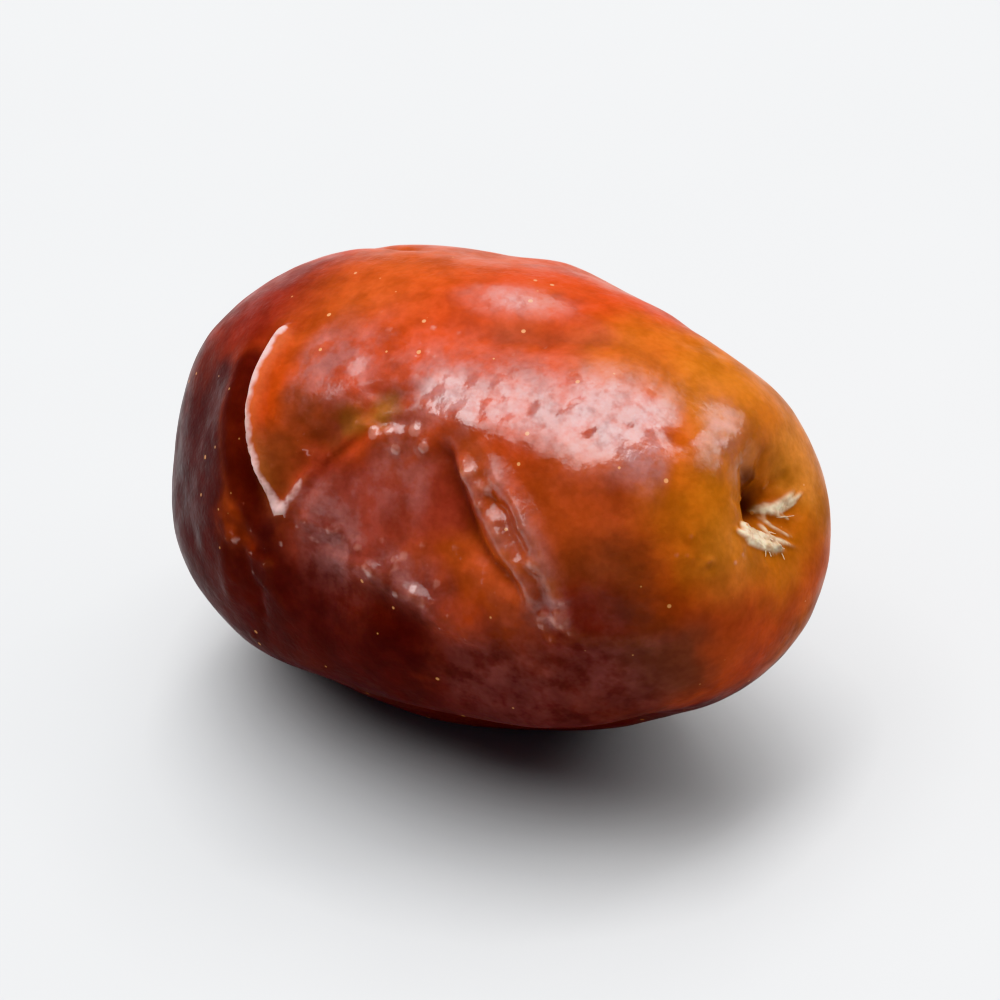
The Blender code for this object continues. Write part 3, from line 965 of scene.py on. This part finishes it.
# Blushes of colour, some of them partly painted shade or light: place along and around, size, colour,
# strength.
BLUSHES_AND_PAINTED_SHADING = [
    (-10.0, 12, 5.0, DEEP_RED, 0.80),
    (-7.2, 6, 5.0, DEEP_RED, 0.85),
    # Maroon at the stalk end and low down on it: partly own colour, partly painted shade.
    (-9.2, 62, 3.6, MAROON, 0.90),
    (-9.6, 40, 3.2, MAROON, 0.70),
    (-11.5, 80, 5.0, MAROON, 0.80),
    (-3.0, -6, 5.0, ORANGE, 0.60),
    (-2.6, -28, 5.0, ORANGE, 0.70),
    (3.0, 8, 4.6, ORANGE_RED, 0.50),
    (7.8, -14, 3.6, OCHRE, 0.60),
    # Darker along the groove: painted shade.
    (3.4, 2, 1.5, BROWN_ORANGE, 0.75),
    (5.8, -4, 1.4, BROWN_ORANGE, 0.60),
    # Russet round the lobe's foot: partly brown skin, partly painted shade of the crinkles.
    (-3.7, 53, 1.9, RUSSET, 0.90),
    (-2.4, 45, 1.5, RUSSET, 0.60),
    (-1.8, 40.5, 1.5, RUSSET, 0.80),
    (-3.1, 39, 1.1, RUSSET, 0.60),
    (0.2, 34.5, 1.1, OLIVE, 0.70),
    (-1.0, 38, 1.0, OLIVE, 0.50),
    # Facet red in the big dent: partly own colour, partly painted shade.
    (0.6, 56, 3.2, FACET_RED, 0.95),
    (2.8, 50, 2.6, FACET_RED, 0.95),
    (3.3, 56, 2.1, FACET_RED, 0.95),
    (-1.6, 55, 1.9, FACET_RED, 0.90),
    (-0.8, 66, 2.8, FACET_RED, 0.90),
    (1.8, 62, 2.2, FACET_RED, 0.90),
    (1.2, 69, 2.2, FACET_RED, 0.95),
    (2.3, 72, 1.8, FACET_RED, 0.95),
    (3.2, 79, 1.8, FACET_RED, 0.85),
    (3.8, 54, 1.5, FACET_RED, 0.90),
    # Maroon under the low rim: partly own colour, partly painted shade.
    (-1.4, 82, 3.2, MAROON, 0.90),
    (1.4, 88, 3.0, MAROON, 0.90),
    # Brighter orange where the dent's floor faces the light: partly own colour, partly painted light.
    (4.9, 69, 1.7, TRIANGLE_ORANGE, 0.95),
    (6.3, 76, 1.5, TRIANGLE_ORANGE, 0.85),
    # Facet red again: partly own colour, partly painted shade.
    (4.0, 56, 1.7, FACET_RED, 0.95),
    (8.6, 52, 3.8, BROWN_ORANGE, 0.80),
    # Darker towards the underside on the blossom half: partly own colour, partly painted shade.
    (9.6, 72, 3.4, RUSSET, 0.85),
    (8.6, 84, 2.6, DEEP_RED, 0.80),
    (5.4, 104, 4.4, MAROON, 0.90),
    (9.6, 104, 4.2, MAROON, 0.95),
    (12.4, 20, 4.6, OCHRE, 0.90),
    (10.6, -14, 3.2, OCHRE, 0.80),
    (12.6, 60, 2.6, LIGHT_OCHRE, 0.50),
    (12.9, 200, 3.0, OCHRE, 0.80),
    (12.2, -84, 3.6, OCHRE, 0.95),
    (9.8, -44, 4.4, OCHRE, 0.85),
    (11.4, -74, 4.0, OCHRE, 0.80),
    (12.3, -60, 2.6, LIGHT_OCHRE, 0.90),
    # Browner low down at the blossom end: partly own colour, partly painted shade.
    (12.4, 104, 3.0, BROWN_ORANGE, 0.70),
    (11.0, 106, 2.8, DUSKY_BROWN, 0.85),
    (11.4, 200, 4.0, OCHRE, 0.60),
    (-6.0, 230, 7.0, DEEP_RED, 0.80),
    (1.0, 290, 6.0, ORANGE_RED, 0.80),
    (-12.0, 300, 5.0, MAROON, 0.60),
]


LEAST_GLOSS = 0.02
SKIN_RELIEF = 0.06 * MM
FIBRE_RELIEF = 0.05 * MM
SHADOW_SLANT = 0.45
SKIN_SETTINGS = {
    "Specular IOR Level": 0.04,
    "Coat IOR": 1.8,
    "Coat Roughness": 0.17,
    "Subsurface Weight": 0.12,
    "Subsurface Radius": (1.0, 0.25, 0.08),
    "Subsurface Scale": 0.7 * MM,
}
HOLE_PLACE = (BLOSSOM_PIT - Vector((2.2 * MM, 0.0, 0.0))) / MM


def skin_places(finish):
    """Places on the level fruit in millimetres, and the same places gone a little astray."""
    where = finish.add("TexCoord").outputs["Object"]
    centred = finish.add("Mapping", {"Vector": where}, vector_type="TEXTURE")
    centred.inputs["Location"].default_value = shift
    centred.inputs["Rotation"].default_value = (0.0, -BLOSSOM_END_RISE, 0.0)
    centred.inputs["Scale"].default_value = (MM, MM, MM)
    place = centred.outputs["Vector"]
    wander = finish.noise(place, 0.35, 3.0, 0.6, "Color")
    spread = finish.add("VectorMath", operation="SCALE")
    finish.put(finish.vector("SUBTRACT", wander, (0.5, 0.5, 0.5)), spread.inputs[0])
    spread.inputs["Scale"].default_value = 2.4
    return place, finish.vector("ADD", place, spread.outputs["Vector"])


def ripe_color(finish, place, astray):
    """Orange red with its blushes and painted shading, and darker low down: partly where the fruit hung in
    the shade as it ripened, partly painted shade.
    """
    patches = finish.between(finish.noise(place, 0.18, 2.0, 0.5), 0.35, 0.65)
    color = finish.blend(patches, ORANGE_RED, ORANGE)
    for x, around, size, paint, strength in BLUSHES_AND_PAINTED_SHADING:
        away = finish.vector("DISTANCE", astray, on_skin(x, around) / MM, "Value")
        share = finish.between(away, 0.25 * size, size, strength, 0.0)
        color = finish.blend(share, color, paint)
    # The darker side, partly its own maroon and partly painted shade, is low down, and reaches higher up
    # near the stalk end.
    parts = finish.add("SeparateXYZ", {"Vector": astray})
    slant = finish.math("MULTIPLY", parts.outputs["X"], SHADOW_SLANT)
    height = finish.math("ADD", parts.outputs["Z"], slant)
    uneven = finish.math("SUBTRACT", finish.noise(place, 0.40, 3.0, 0.6), 0.5)
    ragged = finish.math("ADD", height, finish.math("MULTIPLY", uneven, 6.0))
    shaded = finish.between(ragged, 3.5, -1.0)
    return finish.blend(finish.math("MULTIPLY", shaded, 0.96), color, MAROON)


def folded_color(finish, place, color):
    """Painted shade in furrows and along the marked creases, paler ridges, the lilac haze with painted
    sheen, and the painted highlights of the lip and the beads.
    """
    lift = finish.mark("lift")
    # Sunken skin darker: painted shade in the furrows and hollows.
    color = finish.blend(finish.between(lift, -0.05, -0.45, 0.0, 0.55), color, MAROON)
    color = finish.blend(finish.between(lift, 0.05, 0.40, 0.0, 0.22), color, RAISED_COLOR)
    # Painted shade along the marked creases, behind the lip and in the bowl.
    shade = finish.between(finish.mark("shade"), 0.15, 0.75, 0.0, 0.92)
    color = finish.blend(shade, color, MAROON)
    # Lilac haze, partly waxy and partly painted sheen.
    patchy = finish.between(finish.noise(place, 1.1, 3.0, 0.6), 0.35, 0.60, 0.35, 1.0)
    color = finish.blend(finish.math("MULTIPLY", finish.mark("bloom_and_sheen"), patchy), color, BLOOM_AND_SHEEN_COLOR)
    uneven = finish.between(finish.noise(place, 1.6, 2.0), 0.32, 0.66, 0.86, 1.06)
    # Painted highlight along the lip's crest.
    pale = finish.math("MULTIPLY", finish.mark("pale"), uneven)
    color = finish.blend(finish.between(pale, 0.66, 0.95), color, LIP_HIGHLIGHT_COLOR)
    # Painted glint on the beads.
    bead = finish.between(finish.mark("bead"), 0.66, 0.86)
    return finish.blend(finish.math("MULTIPLY", bead, 0.40), color, BEAD_GLINT_COLOR), bead


def pit_color(finish, place, color):
    """Painted shade in and round the hole, and the torn skin as pale as dry fibre beside it."""
    away = finish.vector("DISTANCE", place, HOLE_PLACE, "Value")
    color = finish.blend(finish.between(away, 0.5, 1.3, 0.90, 0.0), color, HOLE_SHADE_COLOR)
    streaks = finish.between(finish.noise(place, 2.5, 2.0), 0.3, 0.6, 0.60, 1.0)
    torn = finish.between(finish.mark("torn"), 0.10, 0.85)
    paleness = finish.math("MULTIPLY", torn, streaks)
    return finish.blend(paleness, color, FIBRE_COLOR), paleness


def mottled(finish, place, color):
    """Lighter and darker mottling, soft and fine."""
    soft = finish.between(finish.noise(place, 0.8, 2.0, 0.5), 0.30, 0.70, 0.82, 1.16)
    fine = finish.between(finish.noise(place, 4.0, 2.0, 0.5), 0.30, 0.70, 0.93, 1.07)
    return finish.blend(1.0, color, finish.gray(finish.math("MULTIPLY", soft, fine)), "MULTIPLY")


def pale_scales(finish, place):
    """Small pale scales, strewn wide apart and of different sizes."""
    dots = finish.add("TexVoronoi", {"Vector": place, "Scale": 1.5, "Randomness": 1.0})
    chosen = finish.add("SeparateColor", {"Color": dots.outputs["Color"]})
    size = finish.between(chosen.outputs["Green"], 0.0, 1.0, 0.05, 0.13)
    inside = finish.between(finish.math("SUBTRACT", size, dots.outputs["Distance"]), -0.02, 0.02)
    kept = finish.math("LESS_THAN", chosen.outputs["Red"], 0.30)
    return finish.math("MULTIPLY", inside, kept)


def skin_gloss(finish, place, scales, bead, paleness):
    """Dull skin under a clear coat that is strong only where it was marked."""
    rough = finish.between(finish.noise(place, 0.9, 4.0, 0.6), 0.3, 0.7, 0.30, 0.46)
    rough = finish.math("ADD", rough, finish.math("MULTIPLY", scales, 0.2))
    finish.put(rough, finish.shader.inputs["Roughness"])
    crazed = finish.between(finish.noise(place, 2.3, 3.0, 0.6), 0.34, 0.62, 0.45, 1.0)
    marked = finish.math("MULTIPLY", finish.mark("gloss"), crazed)
    shine = finish.math("MAXIMUM", finish.math("MAXIMUM", LEAST_GLOSS, marked), bead)
    shine = finish.math("MULTIPLY", shine, finish.math("SUBTRACT", 1.0, paleness))
    finish.put(shine, finish.shader.inputs["Coat Weight"])
    for name, value in SKIN_SETTINGS.items():
        finish.shader.inputs[name].default_value = value


def skin_relief(finish, place):
    """Fine grain, creases and pores, too small to be in the mesh."""
    fine = finish.noise(place, 3.2, 3.0, 0.5)
    uneven = finish.math("SUBTRACT", finish.noise(place, 1.4, 2.0, 0.5), 0.5)
    creased = finish.math("ABSOLUTE", uneven)
    pores = finish.noise(place, 6.0, 1.0, 0.5)
    relief = finish.math("ADD", finish.math("MULTIPLY", fine, 0.18), finish.math("MULTIPLY", creased, 0.8))
    relief = finish.math("ADD", relief, finish.math("MULTIPLY", pores, 0.30))
    bump = finish.add("Bump", {"Height": relief, "Strength": 0.5, "Distance": SKIN_RELIEF})
    finish.put(bump.outputs["Normal"], finish.shader.inputs["Normal"])
    finish.put(bump.outputs["Normal"], finish.shader.inputs["Coat Normal"])


def fruit_skin_finish():
    """Glossy dried skin: red and orange blushes with painted shade, highlights and sheen, fine mottling and
    small pale scales.
    """
    finish = Finish("dried_fruit_skin")
    place, astray = skin_places(finish)
    color = ripe_color(finish, place, astray)
    color, bead = folded_color(finish, place, color)
    color, paleness = pit_color(finish, place, color)
    color = mottled(finish, place, color)
    scales = pale_scales(finish, place)
    color = finish.blend(finish.math("MULTIPLY", scales, 0.75), color, SCALE_COLOR)
    finish.put(color, finish.shader.inputs["Base Color"])
    skin_gloss(finish, place, scales, bead, paleness)
    skin_relief(finish, place)
    return finish.material


def fibre_finish():
    """Dry pale fibre, browner in places."""
    finish = Finish("dried_fibre")
    where = finish.add("TexCoord").outputs["Object"]
    place = finish.add("Mapping", {"Vector": where}, vector_type="POINT")
    place.inputs["Scale"].default_value = (1 / MM, 1 / MM, 1 / MM)
    place = place.outputs["Vector"]
    patch = finish.between(finish.noise(place, 1.6, 3.0), 0.40, 0.70)
    color = finish.blend(patch, FIBRE_COLOR, BROWN_FIBRE)
    grain = finish.noise(place, 7.0, 4.0)
    color = finish.blend(finish.between(grain, 0.55, 0.75, 0.0, 0.5), color, DARK_GRAIN)
    finish.put(color, finish.shader.inputs["Base Color"])
    finish.put(finish.between(grain, 0.3, 0.7, 0.50, 0.75), finish.shader.inputs["Roughness"])
    bump = finish.add("Bump", {"Height": grain, "Strength": 0.6, "Distance": FIBRE_RELIEF})
    finish.put(bump.outputs["Normal"], finish.shader.inputs["Normal"])
    return finish.material


def floor_finish():
    """Plain pale floor, barely uneven in tone."""
    finish = Finish("pale_floor")
    where = finish.add("TexCoord").outputs["Object"]
    tone = finish.between(finish.noise(where, 60.0, 3.0), 0.3, 0.7, 0.62, 0.65)
    finish.put(finish.gray(tone), finish.shader.inputs["Base Color"])
    finish.shader.inputs["Roughness"].default_value = 0.8
    return finish.material


fruit.data.materials.clear()
fruit.data.materials.append(fruit_skin_finish())
fibre_material = fibre_finish()
for piece in (fibres, scar):
    piece.data.materials.clear()
    piece.data.materials.append(fibre_material)

# Floor, light and camera

middle = (node_low + node_high) / 2
start_piece()
bpy.ops.mesh.primitive_plane_add(size=3.0, location=(0.0, 0.0, 0.0))
floor = bpy.context.object
floor.name = "floor"
floor.data.materials.append(floor_finish())

world = bpy.data.worlds.new("studio")
bpy.context.scene.world = world
world.use_nodes = True
world.node_tree.nodes["Background"].inputs["Color"].default_value = (0.90, 0.94, 1.0, 1.0)
world.node_tree.nodes["Background"].inputs["Strength"].default_value = 0.14


def softbox(name, direction, distance, size, power, color=(1.0, 1.0, 1.0)):
    """A square soft light that looks at the fruit from a direction."""
    data = bpy.data.lights.new(name, "AREA")
    data.shape = "RECTANGLE"
    data.size, data.size_y = size
    data.energy = power
    data.color = color
    lamp = bpy.data.objects.new(name, data)
    bpy.context.scene.collection.objects.link(lamp)
    back = Vector(direction).normalized()
    lamp.location = middle + back * distance
    lamp.rotation_euler = back.to_track_quat("Z", "Y").to_euler()


softbox("overhead_strip", (-0.20, 0.06, 0.98), 0.30, (0.56, 0.24), 2.00, (0.97, 0.985, 1.0))
softbox("right_softbox", (0.50, 0.60, 0.62), 0.40, (0.26, 0.26), 0.80)
softbox("back_strip", (-0.45, 0.62, 0.64), 0.35, (0.26, 0.12), 0.24)
softbox("broad_softbox", (-0.25, 0.30, 0.92), 0.60, (0.90, 0.80), 0.85)
softbox("front_fill", (0.30, -0.85, 0.40), 0.45, (0.25, 0.25), 0.03)

VIEW_AROUND = radians(38.0)
VIEW_HEIGHT = radians(40.0)
VIEW_DISTANCE = 0.205
VIEW_ROLL = radians(4.4)
LENS_LENGTH = 200.0
level = Vector((sin(VIEW_AROUND), -cos(VIEW_AROUND), 0.0))
back = level * cos(VIEW_HEIGHT) + Vector((0.0, 0.0, sin(VIEW_HEIGHT)))
lens = bpy.data.cameras.new("camera")
lens.lens = LENS_LENGTH
lens.clip_start = 0.01
lens.clip_end = 10.0
camera = bpy.data.objects.new("camera", lens)
bpy.context.scene.collection.objects.link(camera)
camera.location = middle + back * VIEW_DISTANCE
turned = back.to_track_quat("Z", "Y") @ Quaternion((0.0, 0.0, 1.0), -VIEW_ROLL)
camera.rotation_euler = turned.to_euler()
bpy.context.scene.camera = camera
view = bpy.context.scene.view_settings
view.view_transform = "Khronos PBR Neutral"
view.look = "None"
view.exposure = 0.0
